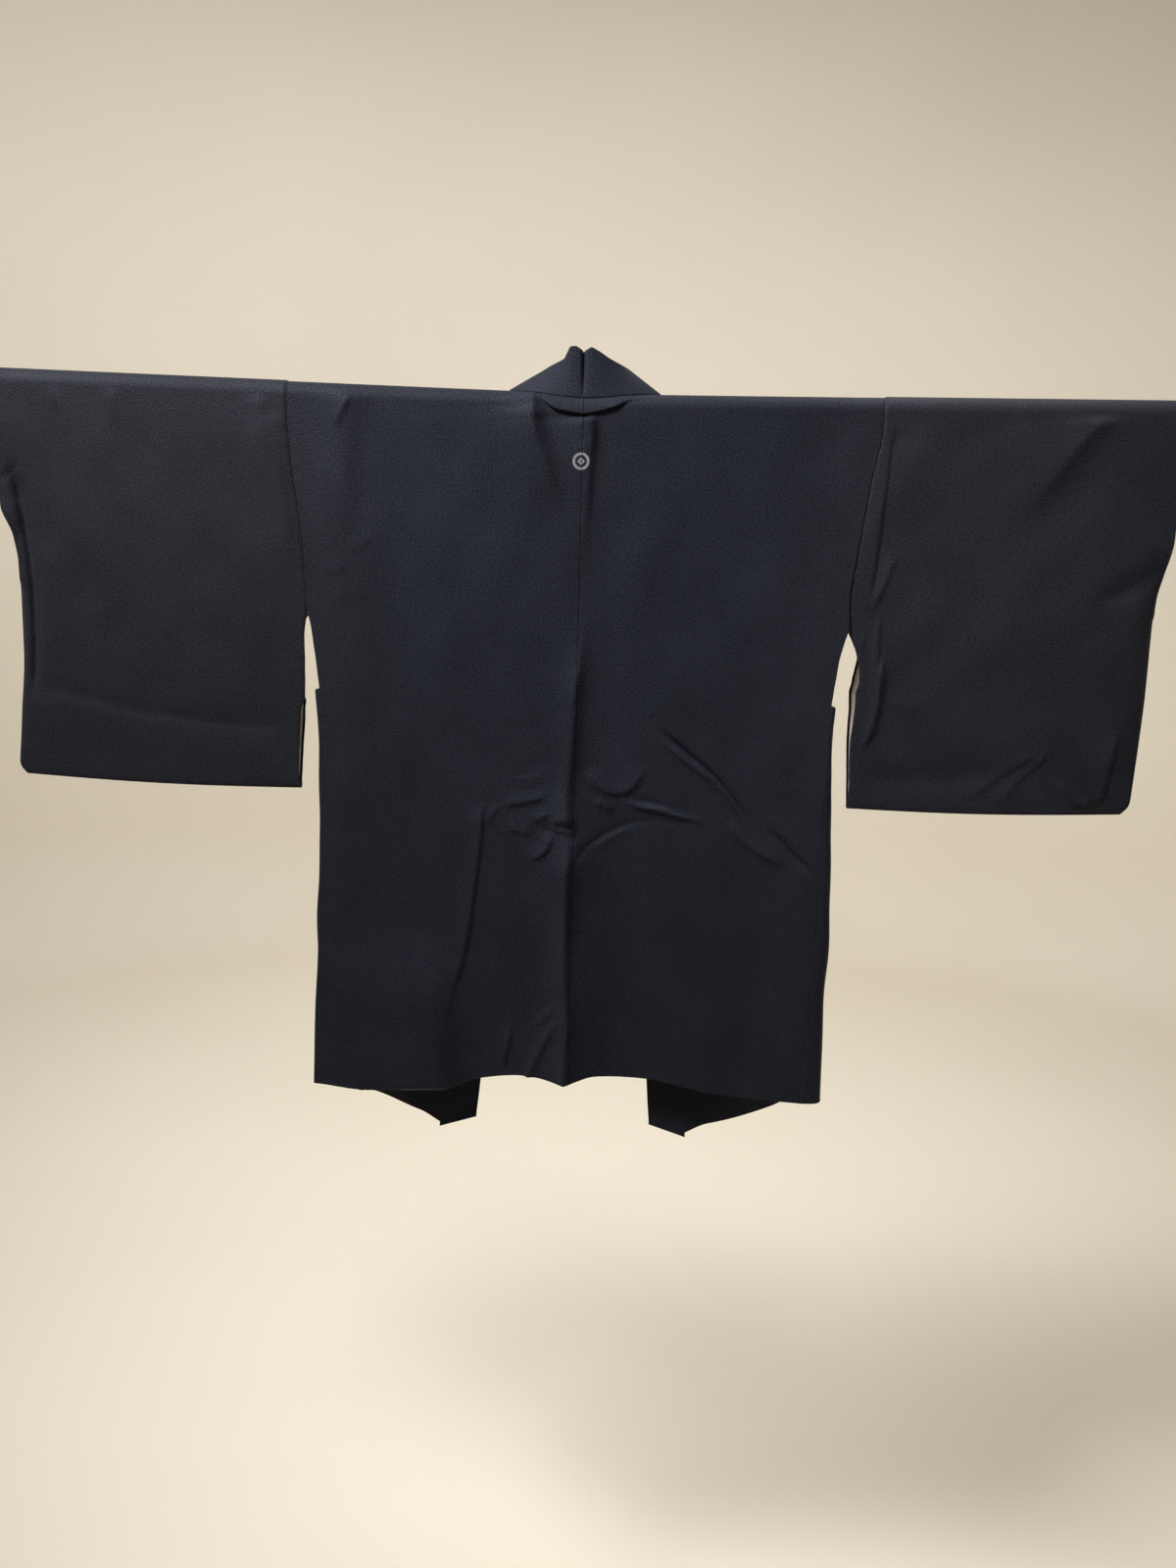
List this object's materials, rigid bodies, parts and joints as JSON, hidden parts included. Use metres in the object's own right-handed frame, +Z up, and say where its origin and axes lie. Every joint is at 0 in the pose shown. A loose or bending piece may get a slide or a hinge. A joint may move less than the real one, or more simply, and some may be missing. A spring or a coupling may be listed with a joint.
{
  "type": "haori jacket hanging on a rod",
  "caption": "Lined silk haori jacket, hanging flat by its sleeves on a plain round rod, with its back panels, open square sleeves, side gussets and long folded collar band.",
  "frame": {"origin": "middle of the rod's axis, which holds the jacket up", "axes": "+X along the rod towards the wearer's right arm, +Y from the back of the jacket to its front, +Z up"},
  "size_m": [1.4604, 0.1101, 0.9311],
  "materials": {
    "silk_crepe": "matt black silk crepe with a fine pebbled grain",
    "silk_lining": "smooth pinkish white plain-weave silk",
    "painted_steel": "glossy black paint on a steel tube"
  },
  "bodies": {
    "root": {"body_left": "silk_crepe", "body_right": "silk_crepe", "gusset_left": "silk_crepe", "gusset_right": "silk_crepe", "sleeve_left": "silk_crepe", "sleeve_right": "silk_crepe", "collar": "silk_crepe", "sleeve_lining_left": "silk_lining", "sleeve_lining_right": "silk_lining", "rod": "painted_steel"}
  },
  "joints": []
}
